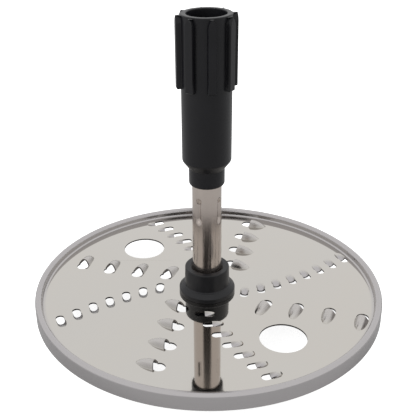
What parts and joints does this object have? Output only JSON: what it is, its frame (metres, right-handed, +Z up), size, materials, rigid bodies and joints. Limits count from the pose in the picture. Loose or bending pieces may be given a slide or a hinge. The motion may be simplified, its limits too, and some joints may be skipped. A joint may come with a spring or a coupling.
{
  "type": "food processor shredding disc",
  "caption": "Reversible steel shredding disc with coarse and fine teeth, a plastic hub and a plug-in tube stem with a ribbed drive socket.",
  "frame": {"origin": "centre of the hub's foot, on the surface that the disc stands on", "axes": "+Z up the stem to the mouth of its drive socket, +X to the right and +Y away from the viewer in the picture"},
  "size_m": [0.178, 0.178, 0.1591],
  "materials": {
    "disc_steel": "polished, faintly brushed",
    "hub_plastic": "satin moulded",
    "tube_steel": "satin",
    "socket_plastic": "satin moulded"
  },
  "bodies": {
    "root": {"shredding_disc": "disc_steel", "hub": "hub_plastic", "stem_tube": "tube_steel", "drive_socket": "socket_plastic"}
  },
  "joints": []
}
